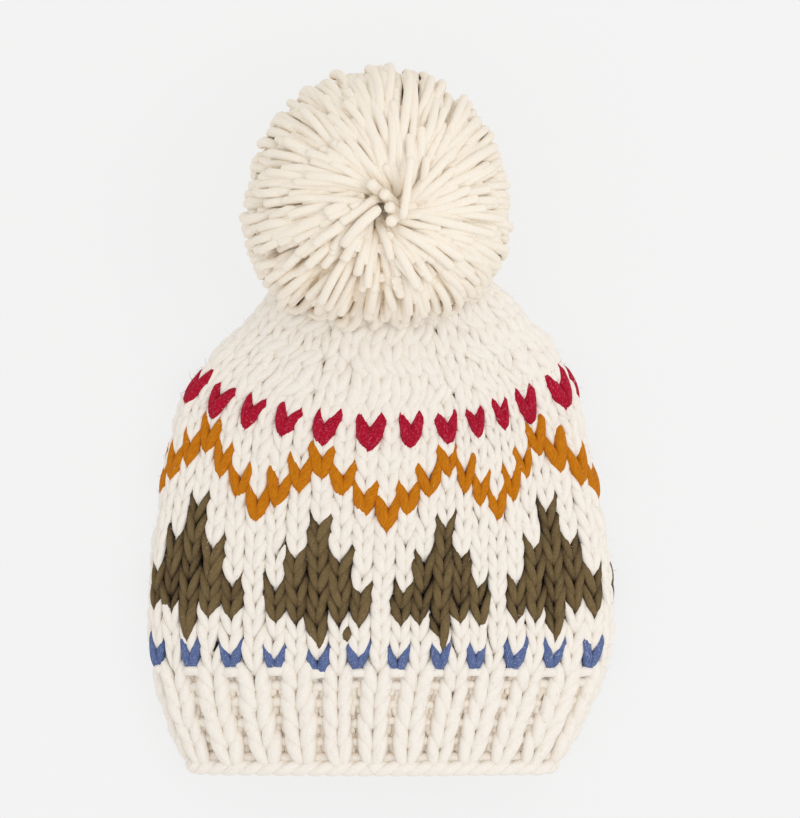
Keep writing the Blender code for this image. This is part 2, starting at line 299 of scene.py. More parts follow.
# How uneven a hand's stitches are: the usual spread of a stitch's width, of its shift and lean to the
# side, of its height, and of each leg's depth and thickness. The feet slip half as far as the rest.
WIDTH_SPREAD = 0.08
SHIFT_SPREAD = 0.04
LEAN_SPREAD = 0.04
HEIGHT_SPREAD = 0.08
DEPTH_SPREAD = 0.16
THICKNESS_SPREAD = 0.07
FOOT_SLACK = 0.5

# Where a loop goes over from the columns of its feet to the column of its top, in rows.
CROSSING_START = 0.36
CROSSING_HEIGHT = 1.2


def knitted_round(shape, chance):
    """The yarn's path through one round. shape holds, per stitch: the loop's corners, the columns of
    its feet and its top, its pitch below and above, and its lowest row and height in rows."""
    count = len(shape["top"])
    uneven = shape["unevenness"]
    corners = np.stack(shape["corners"]).astype(float)
    slack = np.ones(LOOP_PARTS)
    slack[0] = 0.0
    slack[[1, -1]] = FOOT_SLACK
    wide = 1 + uneven * chance.normal(0, WIDTH_SPREAD, count)
    aside = uneven * chance.normal(0, SHIFT_SPREAD, count)
    tilt = uneven * chance.normal(0, LEAN_SPREAD, count)
    high = uneven * chance.normal(0, HEIGHT_SPREAD, count)
    deep = uneven * chance.normal(0, DEPTH_SPREAD, (count, 2))
    fat = uneven * chance.normal(0, THICKNESS_SPREAD, (count, 2))
    left_half = np.arange(LOOP_PARTS) < LOOP_PARTS / 2
    legs = np.where(left_half, 0, 1)
    corners[:, :, 0] *= 1 + slack * (wide[:, None] - 1)
    corners[:, :, 0] += slack * (aside[:, None] + tilt[:, None] * (corners[:, :, 1] - 1))
    corners[:, :, 1] += slack * high[:, None]
    corners[:, :, 2] += slack * deep[:, legs]
    corners[:, :, 3] *= 1 + slack * fat[:, legs]
    rise = np.clip(corners[:, :, 1] - CROSSING_START, 0, CROSSING_HEIGHT) / CROSSING_HEIGHT
    rise = rise * rise * (3 - 2 * rise)
    foot = np.where(left_half, shape["left_foot"][:, None], shape["right_foot"][:, None])
    low = foot + corners[:, :, 0] * shape["pitch_below"]
    top = shape["top"][:, None] + corners[:, :, 0] * shape["pitch_above"]
    column = low * (1 - rise) + top * rise
    middles = (shape["left_foot"] + np.roll(shape["right_foot"], 1)) / 2
    middles[0] = (shape["left_foot"][0] + shape["right_foot"][-1] - STITCHES_AROUND) / 2
    if shape["shared_strand"]:
        column[:, 0] = middles
    row = shape["bottom"] + corners[:, :, 1] * shape["height"]
    run = np.stack([column, row, corners[:, :, 2], corners[:, :, 3]], 2).reshape(-1, 4)
    turn = np.array([STITCHES_AROUND, 0, 0, 0])
    run = np.concatenate([run[-1:] - turn, run, run[:2] + turn])
    places = (np.arange(count)[:, None] * LOOP_PARTS + LOOP_PLACES + 1).ravel()
    run = curve_at(run, places)
    column = run[:, 0] + drift(run[:, 0], run[:, 1])
    points, facing = cloth(column, run[:, 1], run[:, 2] * YARN_RADIUS)
    radius = run[:, 3] * YARN_RADIUS * stretch(run[:, 0], run[:, 1])
    return {"points": points, "facing": facing, "radius": radius, "deep": run[:, 2]}


def piece_of_round(path, first, last):
    """The part of a round's yarn from one stitch to before another, closed to a ring if it is whole."""
    count = len(path["points"]) // len(LOOP_PLACES)
    if last - first >= count:
        return {**path, "closed": True}
    picked = np.arange(first * len(LOOP_PLACES), last * len(LOOP_PLACES) + 1) % len(path["points"])
    return {**{name: path[name][picked] for name in path}, "closed": False}


TABLE_TOP = 0.15 * MM
TWIST_LENGTH = 26 * MM
PLY_FLATNESS = 0.94
GOLDEN_SHARE = 0.6180339
FIBRE_SHIFT = 120
SMALLEST = 1e-9


def unit(vectors):
    return vectors / np.maximum(np.linalg.norm(vectors, axis=-1), SMALLEST)[..., None]


def strand_skin(strand, number, sides, flatness):
    """A strand's outside, ring by ring: its points, how its fibres run there, how deep each is tucked for
    the painted crease shading, and the strand's own direction."""
    middle = strand["points"]
    if strand["closed"]:
        tangent = unit(np.roll(middle, -1, axis=0) - np.roll(middle, 1, axis=0))
    else:
        tangent = unit(np.gradient(middle, axis=0))
    across = unit(np.cross(tangent, strand["facing"]))
    outward = np.cross(across, tangent)
    angles = np.arange(sides) / sides * 2 * math.pi
    shell = middle[:, None] + strand["radius"][:, None, None] * (
        np.cos(angles)[None, :, None] * across[:, None]
        + flatness * np.sin(angles)[None, :, None] * outward[:, None]
    )
    steps = np.linalg.norm(np.diff(middle, axis=0), axis=1)
    along = np.concatenate([[0.0], np.cumsum(steps)])
    turned = angles[None] + (along / TWIST_LENGTH * 2 * math.pi)[:, None]
    start = number * GOLDEN_SHARE % 1 * FIBRE_SHIFT
    fibre = np.stack([
        np.broadcast_to((along / YARN_RADIUS + start)[:, None], turned.shape),
        np.cos(turned),
        np.sin(turned),
    ], 2)
    open_way = strand.get("open_way", strand["facing"])
    proud = ((shell - middle[:, None]) * open_way[:, None]).sum(axis=2) / YARN_RADIUS
    return shell, fibre, strand["deep"][:, None] - proud, tangent


def yarn_object(name, strands, sides=YARN_SIDES, flatness=PLY_FLATNESS):
    """One mesh of yarn strands. Each strand has points, the way out of the cloth there, radii and how
    deep its middle is. The mesh keeps how the fibres run and how deep they are tucked, from which the wool
    paints shading into the creases."""
    points, fibres, tucks, faces, flat_faces = [], [], [], [], []
    total = 0
    for number, strand in enumerate(strands):
        middle = strand["points"]
        closed = strand["closed"]
        count = len(middle)
        shell, fibre, tuck, tangent = strand_skin(strand, number, sides, flatness)
        first = total + np.arange(count)[:, None] * sides
        here = first + np.arange(sides)
        beside = first + (np.arange(sides) + 1) % sides
        if closed:
            above, above_beside = np.roll(here, -1, axis=0), np.roll(beside, -1, axis=0)
        else:
            above, above_beside = here[1:], beside[1:]
            here, beside = here[:-1], beside[:-1]
        faces += np.stack([here, beside, above_beside, above], 2).reshape(-1, 4)[:, ::-1].tolist()
        points.append(shell.reshape(-1, 3))
        fibres.append(fibre.reshape(-1, 3))
        tucks.append(tuck.ravel())
        total += count * sides
        if not closed:
            for end, way in ((0, -1), (count - 1, 1)):
                rounding = strand.get("rounding", 0.0) * strand["radius"][end]
                points.append((middle[end] + way * tangent[end] * rounding)[None])
                fibres.append(fibre[end].mean(axis=0)[None])
                tucks.append(strand["deep"][end : end + 1])
                ring_start = total - (count * sides if way < 0 else sides + 1)
                edge = [ring_start + i for i in range(sides)]
                pairs = zip(edge, edge[1:] + edge[:1])
                if strand.get("cut", False):
                    flat_faces += range(len(faces), len(faces) + sides)
                faces += [(a, b, total) if way < 0 else (b, a, total) for a, b in pairs]
                total += 1
    places = np.concatenate(points)
    places[:, 2] = np.maximum(places[:, 2], TABLE_TOP)
    mesh = bpy.data.meshes.new(name)
    mesh.from_pydata(places.tolist(), [], faces)
    mesh.shade_smooth()
    for number in flat_faces:
        mesh.polygons[number].use_smooth = False
    fibre_layer = mesh.attributes.new("fibre", "FLOAT_VECTOR", "POINT")
    fibre_layer.data.foreach_set("vector", np.concatenate(fibres).astype(np.float32).ravel())
    tuck_layer = mesh.attributes.new("tuck", "FLOAT", "POINT")
    tuck_layer.data.foreach_set("value", np.concatenate(tucks).astype(np.float32))
    piece = bpy.data.objects.new(name, mesh)
    bpy.context.scene.collection.objects.link(piece)
    return piece


def from_screen(red, green, blue):
    """A colour from its screen values, 0 to 255, as the shader wants it."""
    shares = np.array([red, green, blue]) / 255
    linear = np.where(shares <= 0.04045, shares / 12.92, ((shares + 0.055) / 1.055) ** 2.4)
    return (*(float(v) for v in linear), 1.0)


def wool_fibres():
    """Shader group: soft streaks that follow the twist of the yarn, paler stray fibres and painted shading
    in the tucked-in parts, in the same second colour as the streaks. It gives a colour, a roughness and a
    height for the bump."""
    group = bpy.data.node_groups.new("wool fibres", "ShaderNodeTree")
    for socket, kind, value in (
        ("Wool", "NodeSocketColor", (0.8, 0.8, 0.8, 1)),
        ("Tucked Wool", "NodeSocketColor", (0.4, 0.4, 0.4, 1)),
        ("Stray Fibre", "NodeSocketColor", (1, 1, 1, 1)),
        ("Stray Amount", "NodeSocketFloat", 0.2),
        ("Streak Depth", "NodeSocketFloat", 0.1),
        ("Crease Shading Start", "NodeSocketFloat", 0.5),
        ("Crease Shading End", "NodeSocketFloat", 2.5),
    ):
        group.interface.new_socket(socket, in_out="INPUT", socket_type=kind).default_value = value
    group.interface.new_socket("Colour", in_out="OUTPUT", socket_type="NodeSocketColor")
    group.interface.new_socket("Roughness", in_out="OUTPUT", socket_type="NodeSocketFloat")
    group.interface.new_socket("Height", in_out="OUTPUT", socket_type="NodeSocketFloat")
    nodes, links = group.nodes, group.links
    given = nodes.new("NodeGroupInput")
    made = nodes.new("NodeGroupOutput")
    fibre = nodes.new("ShaderNodeAttribute")
    fibre.attribute_name = "fibre"
    tuck = nodes.new("ShaderNodeAttribute")
    tuck.attribute_name = "tuck"

    def streaks(stretch, scale, detail, roughness):
        stretched = nodes.new("ShaderNodeVectorMath")
        stretched.operation = "MULTIPLY"
        stretched.inputs[1].default_value = (stretch, 1.0, 1.0)
        noise = nodes.new("ShaderNodeTexNoise")
        noise.inputs["Scale"].default_value = scale
        noise.inputs["Detail"].default_value = detail
        noise.inputs["Roughness"].default_value = roughness
        links.new(fibre.outputs["Vector"], stretched.inputs[0])
        links.new(stretched.outputs[0], noise.inputs["Vector"])
        return noise.outputs["Fac"]

    def ranged(value, low, high, to_low, to_high):
        scaled = nodes.new("ShaderNodeMapRange")
        for socket, number in zip(scaled.inputs[1:5], (low, high, to_low, to_high)):
            socket.default_value = number
        links.new(value, scaled.inputs[0])
        return scaled.outputs[0]

    def calculated(operation, first, second):
        maths = nodes.new("ShaderNodeMath")
        maths.operation = operation
        for socket, value in zip(maths.inputs, (first, second)):
            if isinstance(value, float):
                socket.default_value = value
            else:
                links.new(value, socket)
        return maths.outputs[0]

    def blended(share, first, second):
        mix = nodes.new("ShaderNodeMix")
        mix.data_type = "RGBA"
        links.new(share, mix.inputs["Factor"])
        links.new(first, mix.inputs["A"])
        links.new(second, mix.inputs["B"])
        return mix.outputs["Result"]

    broad = streaks(stretch=0.10, scale=1.6, detail=3.0, roughness=0.55)
    fine = streaks(stretch=0.16, scale=5.5, detail=4.0, roughness=0.65)
    specks = streaks(stretch=0.30, scale=6.5, detail=2.0, roughness=0.5)
    dark_streaks = ranged(fine, low=0.62, high=0.34, to_low=0.0, to_high=1.0)
    streak_share = calculated("MULTIPLY", dark_streaks, given.outputs["Streak Depth"])
    # Painted shading (shade in most wools, a warm glow in the pompom's): the deeper the surface lies in a
    # crease, the more of the second colour is blended in, as for the darker streaks.
    tuck_share = ranged(tuck.outputs["Fac"], low=0.5, high=2.5, to_low=0.0, to_high=1.0)
    links.new(given.outputs["Crease Shading Start"], tuck_share.node.inputs["From Min"])
    links.new(given.outputs["Crease Shading End"], tuck_share.node.inputs["From Max"])
    streak_and_shading_share = calculated("MAXIMUM", streak_share, tuck_share)
    pale_specks = ranged(specks, low=0.56, high=0.70, to_low=0.0, to_high=1.0)
    stray_share = calculated("MULTIPLY", pale_specks, given.outputs["Stray Amount"])
    wool = blended(streak_and_shading_share, given.outputs["Wool"], given.outputs["Tucked Wool"])
    coloured = blended(stray_share, wool, given.outputs["Stray Fibre"])
    links.new(coloured, made.inputs["Colour"])
    matt = ranged(broad, low=0.3, high=0.7, to_low=0.86, to_high=1.0)
    links.new(matt, made.inputs["Roughness"])
    height = calculated("ADD", calculated("MULTIPLY", broad, 0.5), calculated("MULTIPLY", fine, 0.5))
    links.new(height, made.inputs["Height"])
    return group


WOOL_FIBRES = wool_fibres()
RELIEF_DEPTH = 0.6 * MM
WOOL_SPECULAR = 0.15
SHEEN_ROUGHNESS = 0.6
SHEEN_TINT = (1.0, 0.97, 0.93, 1.0)


def wool(name, colour, tucked, crease_shading_range, stray, stray_amount, streak_depth, bump, sheen):
    """A yarn's material: brushed wool with a soft sheen and no shine."""
    material = bpy.data.materials.new(name)
    material.use_nodes = True
    nodes, links = material.node_tree.nodes, material.node_tree.links
    shader = nodes["Principled BSDF"]
    fibres = nodes.new("ShaderNodeGroup")
    fibres.node_tree = WOOL_FIBRES
    fibres.inputs["Wool"].default_value = colour
    # The second colour is both the yarn's darker streaks and its painted crease shading.
    fibres.inputs["Tucked Wool"].default_value = tucked
    fibres.inputs["Stray Fibre"].default_value = stray
    fibres.inputs["Stray Amount"].default_value = stray_amount
    fibres.inputs["Streak Depth"].default_value = streak_depth
    fibres.inputs["Crease Shading Start"].default_value = crease_shading_range[0]
    fibres.inputs["Crease Shading End"].default_value = crease_shading_range[1]
    relief = nodes.new("ShaderNodeBump")
    relief.inputs["Strength"].default_value = bump
    relief.inputs["Distance"].default_value = RELIEF_DEPTH
    links.new(fibres.outputs["Colour"], shader.inputs["Base Color"])
    links.new(fibres.outputs["Roughness"], shader.inputs["Roughness"])
    links.new(fibres.outputs["Height"], relief.inputs["Height"])
    links.new(relief.outputs["Normal"], shader.inputs["Normal"])
    shader.inputs["Specular IOR Level"].default_value = WOOL_SPECULAR
    shader.inputs["Sheen Weight"].default_value = sheen
    shader.inputs["Sheen Roughness"].default_value = SHEEN_ROUGHNESS
    shader.inputs["Sheen Tint"].default_value = SHEEN_TINT
    return material


def fluff(material):
    """The same wool for its loose fibre ends, which are too fine to carry a relief."""
    loose = material.copy()
    loose.name = material.name + " fibre ends"
    loose.node_tree.nodes["Bump"].inputs["Strength"].default_value = 0.0
    return loose


CREAM_WOOL = wool(
    "cream wool",
    colour=from_screen(240, 235, 228),
    # Painted shade: the creases of the stitches darken towards this warmer cream, which also colours the
    # streaks.
    tucked=from_screen(236, 223, 206),
    crease_shading_range=(0.6, 2.8),
    stray=from_screen(252, 247, 240),
    stray_amount=0.5,
    streak_depth=0.5,
    bump=0.55,
    sheen=0.12,
)
CREAM_FLUFF = fluff(CREAM_WOOL)


def finished(piece, material, slot, *nodes):
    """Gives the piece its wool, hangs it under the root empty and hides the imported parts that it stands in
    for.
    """
    piece.data.materials.append(material)
    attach(piece, "root")
    if nodes:
        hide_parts(*nodes)
    return piece


# A loose fibre starts inside the yarn's skin, leaves it within the fan over its outer side, slants along
# the strand and stands off it, strays a little each way and curls over. It thins towards its end.
FIBRE_RADIUS = 0.065 * MM
FIBRE_POINTS = 3
FIBRE_SIDES = 3
FIBRE_ROUNDNESS = 1.0
FIBRE_TAPER = (1.2, 0.6)
FIBRE_ROOT = 0.85
FIBRE_FAN = (0.1, 0.9)
FIBRE_SLANT = (0.2, 1.0)
FIBRE_LIFT = (0.25, 0.8)
FIBRE_STRAY = 0.3
FIBRE_CURL = 0.35
DEEPEST_FIBRE = 1.7
CREAM_FIBRE_LENGTHS = (1.5 * MM, 3.5 * MM)
COLOURED_FIBRE_LENGTHS = (1.0 * MM, 2.4 * MM)
ODD_WAY = (0.3, 0.5, 0.8)


def stray_fibres(strands, count, lengths, chance):
    """Fine ends of wool that stand off the yarn. Each leaves its strand at a slant and curls over."""
    middle = np.concatenate([strand["points"][1:-1] for strand in strands])
    tangent = unit(np.concatenate([strand["points"][2:] - strand["points"][:-2] for strand in strands]))
    facing = np.concatenate([strand["facing"][1:-1] for strand in strands])
    radius = np.concatenate([strand["radius"][1:-1] for strand in strands])
    deep = np.concatenate([strand["deep"][1:-1] for strand in strands])
    picked = chance.choice(np.flatnonzero(deep < DEEPEST_FIBRE), count)
    tangent, facing = tangent[picked], facing[picked]
    across = unit(np.cross(tangent, facing))
    outward = np.cross(across, tangent)
    angle = chance.uniform(*FIBRE_FAN, (count, 1)) * math.pi
    side = np.cos(angle) * across + np.sin(angle) * outward
    start = middle[picked] + side * radius[picked][:, None] * FIBRE_ROOT
    slant = chance.choice((-1.0, 1.0), (count, 1)) * chance.uniform(*FIBRE_SLANT, (count, 1))
    lift = chance.uniform(*FIBRE_LIFT, (count, 1))
    way = unit(slant * tangent + lift * side + chance.normal(0, FIBRE_STRAY, (count, 3)))
    curl = chance.normal(0, FIBRE_CURL, (count, 3))
    length = chance.uniform(*lengths, (count, 1, 1))
    share = np.linspace(0, 1, FIBRE_POINTS)[None, :, None]
    paths = start[:, None] + length * (way[:, None] * share + curl[:, None] * share**2)
    steady = unit(np.cross(way, ODD_WAY))
    return [{
        "points": paths[i],
        "facing": np.tile(steady[i], (FIBRE_POINTS, 1)),
        "radius": FIBRE_RADIUS * np.linspace(*FIBRE_TAPER, FIBRE_POINTS),
        "deep": np.zeros(FIBRE_POINTS),
        "closed": False,
    } for i in range(count)]


RIB_ROUNDS = 5
RIB_LOWEST = -4.70
LOWER_PURLS_DEEPER = 0.5
RIB_UNEVENNESS = 0.8
RIB_FIBRES = 1100
RIB_SEED = 11
rib_chance = np.random.default_rng(RIB_SEED)
rib_height = (0.0 - RIB_LOWEST) / RIB_ROUNDS
columns = np.arange(STITCHES_AROUND, dtype=float)
rib_strands = []
for round_number in range(RIB_ROUNDS):
    rib_purl = np.array(RIB_LAST_PURL_LOOP if round_number == RIB_ROUNDS - 1 else RIB_PURL_LOOP)
    rib_purl[:, 2] += LOWER_PURLS_DEEPER * (1 - round_number / (RIB_ROUNDS - 1))
    path = knitted_round({
        "corners": [whole_loop(RIB_KNIT_LOOP if i % 2 == 0 else rib_purl) for i in range(STITCHES_AROUND)],
        "left_foot": columns,
        "right_foot": columns,
        "top": columns,
        "pitch_below": 1.0,
        "pitch_above": 1.0,
        "bottom": RIB_LOWEST + round_number * rib_height,
        "height": rib_height,
        "unevenness": RIB_UNEVENNESS,
        "shared_strand": False,
    }, rib_chance)
    rib_strands.append(piece_of_round(path, 0, STITCHES_AROUND))
finished(yarn_object("brim_rib_knit", rib_strands), CREAM_WOOL, "brim_rib", "brim_rib")
rib_fibres = stray_fibres(rib_strands, RIB_FIBRES, CREAM_FIBRE_LENGTHS, rib_chance)
finished(yarn_object("brim_stray_fibres", rib_fibres, FIBRE_SIDES, FIBRE_ROUNDNESS), CREAM_FLUFF, "brim_rib")

# Cast-on edge. The two strands of the long-tail cast-on twist round each other along the lower edge of
# the rib, half a turn for each stitch, and leave the soft rope that the hat is pulled on by. The third
# strand is the first round's yarn, which runs straight behind the rib's feet.
ROPE_STRAND_RADIUS = 2.65 * MM
ROPE_HELIX_RADIUS = 1.15 * MM
ROPE_TURNS_PER_STITCH = 0.5
ROPE_ROW = -4.60
ROPE_DEPTH = 3.2 * MM
ROPE_STEPS = 10
# Painted shade: each ply counts as tucked deeper where its twist turns it into the rope, so its inner side
# gets the darker crease colour.
ROPE_SHADING_DEPTH = 1.3
ROPE_SHADING_SWING = 0.5
FIRST_YARN_ROW = -4.12
FIRST_YARN_DEPTH = 5.6 * MM
FIRST_YARN_RADIUS = 2.65 * MM
rope_turn = np.arange(STITCHES_AROUND * ROPE_STEPS) / ROPE_STEPS


def along_the_edge(row, depth):
    """A line round the lower edge at this row and depth, with the way out of the cloth."""
    rows = np.full(len(rope_turn), row)
    return cloth(rope_turn + drift(rope_turn, rows), rows, np.full(len(rope_turn), depth))


rope_middle, rope_facing = along_the_edge(ROPE_ROW, ROPE_DEPTH)
rope_along = unit(np.roll(rope_middle, -1, axis=0) - np.roll(rope_middle, 1, axis=0))
rope_across = np.cross(rope_along, rope_facing)
rope_strands = []
for start in (0.0, 0.5):
    angle = -(rope_turn * ROPE_TURNS_PER_STITCH + start) * 2 * math.pi
    way = np.cos(angle)[:, None] * rope_facing + np.sin(angle)[:, None] * rope_across
    rope_strands.append({
        "points": rope_middle + way * ROPE_HELIX_RADIUS,
        "facing": way,
        "radius": np.full(len(rope_turn), ROPE_STRAND_RADIUS),
        "deep": ROPE_SHADING_DEPTH - ROPE_SHADING_SWING * np.cos(angle),
        "closed": True,
    })
first_yarn, first_yarn_facing = along_the_edge(FIRST_YARN_ROW, FIRST_YARN_DEPTH)
rope_strands.append({
    "points": first_yarn,
    "facing": first_yarn_facing,
    "radius": np.full(len(rope_turn), FIRST_YARN_RADIUS),
    "deep": np.full(len(rope_turn), FIRST_YARN_DEPTH / YARN_RADIUS),
    "closed": True,
})
finished(yarn_object("cast_on_rope", rope_strands), CREAM_WOOL, "brim_rib")

# Patterned body. Fifteen rounds of plain knitting with stranded colours: every round carries the cream
# yarn and at most one colour, and each run of stitches in one colour is one strand of that yarn.
CHART = {
    1: ".b.b.b",
    3: "...O..",
    4: ".ooooo",
    5: ".ooooo",
    6: "..ooo.",
    7: "..ooo.",
    8: "...o..",
    9: "...o..",
    10: "m.....",
    11: ".m...m",
    12: "..m.m.",
    13: "...m..",
    15: ".r.r.r",
}
BODY_ROUNDS = 15
BACK_MIDDLE = STITCHES_AROUND // 2
COLOURED_LOOP_CHANGE = (
    (0, 0, 0, 0),
    (0, 0, 0, 0),
    (0, -0.04, -0.45, 0.10),
    (0, -0.03, -0.20, 0.08),
    (0.01, 0, -0.12, 0.07),
    (0.03, 0.04, -0.20, 0.04),
    (0.06, 0.10, -0.50, 0.0),
    (0.05, 0.06, -0.10, 0),
    (0, 0, 0, 0),
)
COLOURED_LOOP = np.array(KNIT_LOOP) + np.array(COLOURED_LOOP_CHANGE)

# The yarns are not all the same: how much thicker and prouder each lies, in yarn radii, how much
# wider its stitches are, and how much higher they end and lower they start, in rows. A capital is a
# stitch that is pulled long.
YARN_HABITS = {
    "b": (0.00, 0.00, 1.00, 0.00, -0.20),
    "o": (-0.10, 0.00, 1.00, 0.00, 0.00),
    "O": (-0.02, 0.00, 1.00, 0.00, 0.36),
    "m": (0.09, 0.15, 1.05, 0.10, 0.04),
    "r": (0.24, 0.34, 1.05, 0.16, 0.02),
}


# The hearts came out unevenly: how much taller than usual each one on the front stands, in rows.
HEART_COLUMNS = (-11, -9, -7, -5, -3, -1, 1, 3, 5, 7, 9, 11, 13)
HEART_UNEVENNESS = 0.55
HEART_HEIGHTS = (0.0, -0.38, -0.34, -0.36, 0.08, 0.0, 0.02, -0.30, -0.48, -0.20, -0.06, 0.16, 0.0)

# Where a half loop's leg is among its corners, and the rows of its foot, its middle and its top.
LEG = slice(2, 7)
LEG_ROWS = (0.2, 1.0, 1.9)


def coloured_loop(letter, column):
    """Half a loop of a coloured yarn, with that yarn's habits."""
    thicker, prouder, wider, taller, lower = YARN_HABITS[letter]
    if letter == "r":
        from_front = (column + BACK_MIDDLE) % STITCHES_AROUND - BACK_MIDDLE
        taller += float(np.interp(from_front, HEART_COLUMNS, HEART_HEIGHTS, 0.0, 0.0))
    loop = COLOURED_LOOP.copy()
    loop[LEG, 3] += thicker
    loop[LEG, 2] -= prouder
    loop[LEG, 0] *= wider
    loop[:, 1] += np.interp(loop[:, 1], LEG_ROWS, (-lower, 0.0, taller))
    return loop


# A float lies this deep at its ends and sags this much deeper, in yarn radii. It starts before the middle
# of its first stitch and is a little longer than the stitches that it passes.
FLOAT_DEPTHS = (2.9, 1.5)
FLOAT_THICKNESS = 0.85
FLOAT_ROW = 0.30
FLOAT_LEAD = 0.55
FLOAT_EXTRA = 0.1
FLOAT_ENDS = 4
FLOAT_STEPS_PER_STITCH = 2


def float_behind(round_number, first, last):
    """The yarn that waits behind a run of stitches in another colour, in a slack bow."""
    passed = last - first
    share = np.linspace(0, 1, FLOAT_ENDS + FLOAT_STEPS_PER_STITCH * passed)
    column = first - FLOAT_LEAD + (passed + FLOAT_EXTRA) * share
    row = np.full(len(share), round_number - 1 + FLOAT_ROW)
    deep = FLOAT_DEPTHS[0] + FLOAT_DEPTHS[1] * np.sin(math.pi * share)
    points, facing = cloth(column + drift(column, row), row, deep * YARN_RADIUS)
    thick = np.full(len(share), YARN_RADIUS * FLOAT_THICKNESS)
    return {"points": points, "facing": facing, "radius": thick, "deep": deep, "closed": False}


def charted(round_number):
    """The colour letters of a round's 48 stitches, from the middle of the front."""
    repeat = CHART.get(round_number, "......")
    return [repeat[i % len(repeat)] for i in range(STITCHES_AROUND)]


def colour_runs(letters):
    """The runs of one colour in a round: letter, first stitch and the stitch after the last."""
    if len(set(letters)) == 1:
        return [(letters[0], 0, len(letters))]
    start = next(i for i in range(BACK_MIDDLE, 2 * BACK_MIDDLE) if letters[i] != letters[i - 1])
    order = letters[start:] + letters[:start]
    runs = []
    first = 0
    for i in range(1, len(order) + 1):
        if i == len(order) or order[i] != order[first]:
            runs.append((order[first], start + first, start + i))
            first = i
    return runs


BODY_SEED = 23
body_chance = np.random.default_rng(BODY_SEED)
yarns = {".": [], "b": [], "o": [], "m": [], "r": []}
cream_floats = []

# One float of the olive yarn has worked through to the front, between two columns under a tree.
PEEK_COLUMN = -1.60
PEEK_ROWS = (2.20, 3.20)
PEEK_DEPTHS = (2.2, 0.9, 0.3, 0.9, 2.2)
PEEK_THICKNESS = 0.95
peek_row = np.linspace(*PEEK_ROWS, len(PEEK_DEPTHS))
peek_column = np.full(len(PEEK_DEPTHS), PEEK_COLUMN)
peek_column += drift(peek_column, peek_row)
peek_deep = np.array(PEEK_DEPTHS)
peek_points, peek_facing = cloth(peek_column, peek_row, peek_deep * YARN_RADIUS)
yarns["o"].append({
    "points": peek_points,
    "facing": peek_facing,
    "radius": np.full(len(PEEK_DEPTHS), PEEK_THICKNESS * YARN_RADIUS),
    "deep": peek_deep,
    "closed": False,
})
for round_number in range(1, BODY_ROUNDS + 1):
    letters = charted(round_number)
    path = knitted_round({
        "corners": [
            whole_loop(KNIT_LOOP if letter == "." else coloured_loop(letter, column))
            for column, letter in enumerate(letters)
        ],
        "left_foot": columns,
        "right_foot": columns,
        "top": columns,
        "pitch_below": 1.0,
        "pitch_above": 1.0,
        "bottom": round_number - 1.0,
        "height": 1.0,
        "unevenness": HEART_UNEVENNESS if "r" in letters else 1.0,
        "shared_strand": False,
    }, body_chance)
    coloured = max(letters).lower()
    for letter, first, last in colour_runs(letters):
        yarns[letter.lower()].append(piece_of_round(path, first, last))
        if letter != ".":
            cream_floats.append(float_behind(round_number, first, last))
        elif coloured != ".":
            yarns[coloured].append(float_behind(round_number, first, last))

OLIVE_WOOL = wool(
    "olive heather wool",
    colour=from_screen(122, 102, 67),
    # Painted shade: the creases between the legs darken towards this near-black brown, which also colours
    # the streaks.
    tucked=from_screen(32, 13, 0),
    crease_shading_range=(-0.3, 0.9),
    stray=from_screen(166, 154, 126),
    stray_amount=0.35,
    streak_depth=0.45,
    bump=0.8,
    sheen=0.03,
)
BLUE_WOOL = wool(
    "denim blue heather wool",
    colour=from_screen(95, 112, 158),
    # Painted shade: the creases darken towards this deep blue, which also colours the streaks.
    tucked=from_screen(26, 50, 100),
    crease_shading_range=(0.0, 1.8),
    stray=from_screen(176, 184, 206),
    stray_amount=0.6,
    streak_depth=0.5,
    bump=0.7,
    sheen=0.05,
)
MUSTARD_WOOL = wool(
    "mustard wool",
    colour=from_screen(204, 124, 8),
    # Painted shade: the creases darken towards this deep brown-orange, which also colours the streaks.
    tucked=from_screen(120, 56, 0),
    crease_shading_range=(0.2, 2.2),
    stray=from_screen(218, 152, 56),
    stray_amount=0.25,
    streak_depth=0.5,
    bump=0.7,
    sheen=0.03,
)
RED_WOOL = wool(
    "crimson wool",
    colour=from_screen(178, 4, 44),
    # Painted shade: the creases darken towards this deep crimson, which also colours the streaks.
    tucked=from_screen(92, 0, 16),
    crease_shading_range=(0.2, 2.2),
    stray=from_screen(222, 112, 136),
    stray_amount=0.5,
    streak_depth=0.5,
    bump=0.7,
    sheen=0.04,
)
finished(yarn_object("body_cream_knit", yarns["."]), CREAM_WOOL, "patterned_body", "patterned_body")
finished(yarn_object("body_cream_floats", cream_floats), CREAM_WOOL, "patterned_body")
for piece_name, letter, material in (
    ("blue_stitch_dots", "b", BLUE_WOOL),
    ("olive_trees", "o", OLIVE_WOOL),
    ("mustard_zigzag", "m", MUSTARD_WOOL),
    ("crimson_hearts", "r", RED_WOOL),
):
    finished(yarn_object(piece_name, yarns[letter]), material, "patterned_body")
# The loose fibres of each yarn: how many, and how long. The crimson wool is the hairiest.
CRIMSON_FIBRE_LENGTHS = (1.0 * MM, 4.0 * MM)
FIBRE_COUNTS = (
    ("cream", ".", CREAM_WOOL, 2700, CREAM_FIBRE_LENGTHS),
    ("blue", "b", BLUE_WOOL, 160, COLOURED_FIBRE_LENGTHS),
    ("olive", "o", OLIVE_WOOL, 420, COLOURED_FIBRE_LENGTHS),
    ("mustard", "m", MUSTARD_WOOL, 300, COLOURED_FIBRE_LENGTHS),
    ("crimson", "r", RED_WOOL, 640, CRIMSON_FIBRE_LENGTHS),
)
for yarn_name, letter, material, count, lengths in FIBRE_COUNTS:
    fibres = stray_fibres(yarns[letter], count, lengths, body_chance)
    piece = yarn_object(yarn_name + "_stray_fibres", fibres, FIBRE_SIDES, FIBRE_ROUNDNESS)
    finished(piece, fluff(material), "patterned_body")

